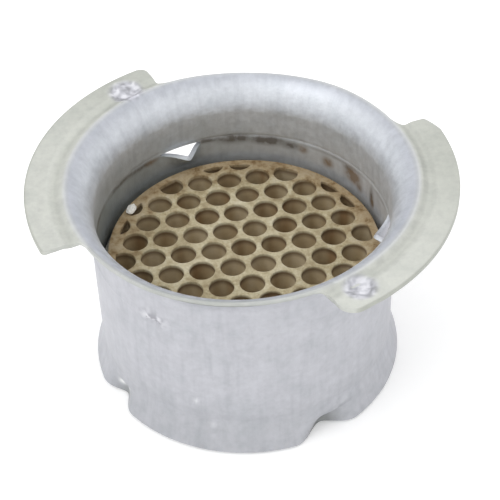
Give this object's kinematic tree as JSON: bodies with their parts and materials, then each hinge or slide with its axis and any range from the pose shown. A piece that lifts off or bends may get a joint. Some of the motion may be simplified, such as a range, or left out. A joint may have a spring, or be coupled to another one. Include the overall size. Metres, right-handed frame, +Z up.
{
  "type": "burner assembly",
  "caption": "Drawn sheet-metal burner cup with bell mouth, twist-in mounting ears and pinched skirt, holding a ceramic honeycomb disc that spreads and steadies a gas flame",
  "frame": {"origin": "On the cup's axis, in the plane of the skirt's lower edge", "axes": "+Z up along the cup's axis to its bell mouth; +X along the ears' widest reach; -Y towards the viewer of the front"},
  "size_m": [0.0882, 0.0771, 0.0476],
  "materials": {
    "aluminised_steel": "matt, mottled hot-dip coating with fine draw marks",
    "cordierite_ceramic": "fired buff ceramic, matt and slightly porous",
    "ceramic_fibre": "soft off-white fibre",
    "stainless_steel": "rolled stainless sheet",
    "refractory_cement": "rough dried cement"
  },
  "bodies": {
    "root": {"burner_cup": "aluminised_steel", "honeycomb_disc": "cordierite_ceramic", "fibre_wrap": "ceramic_fibre", "support_ring": "stainless_steel", "cement_dab": "refractory_cement"}
  },
  "joints": []
}
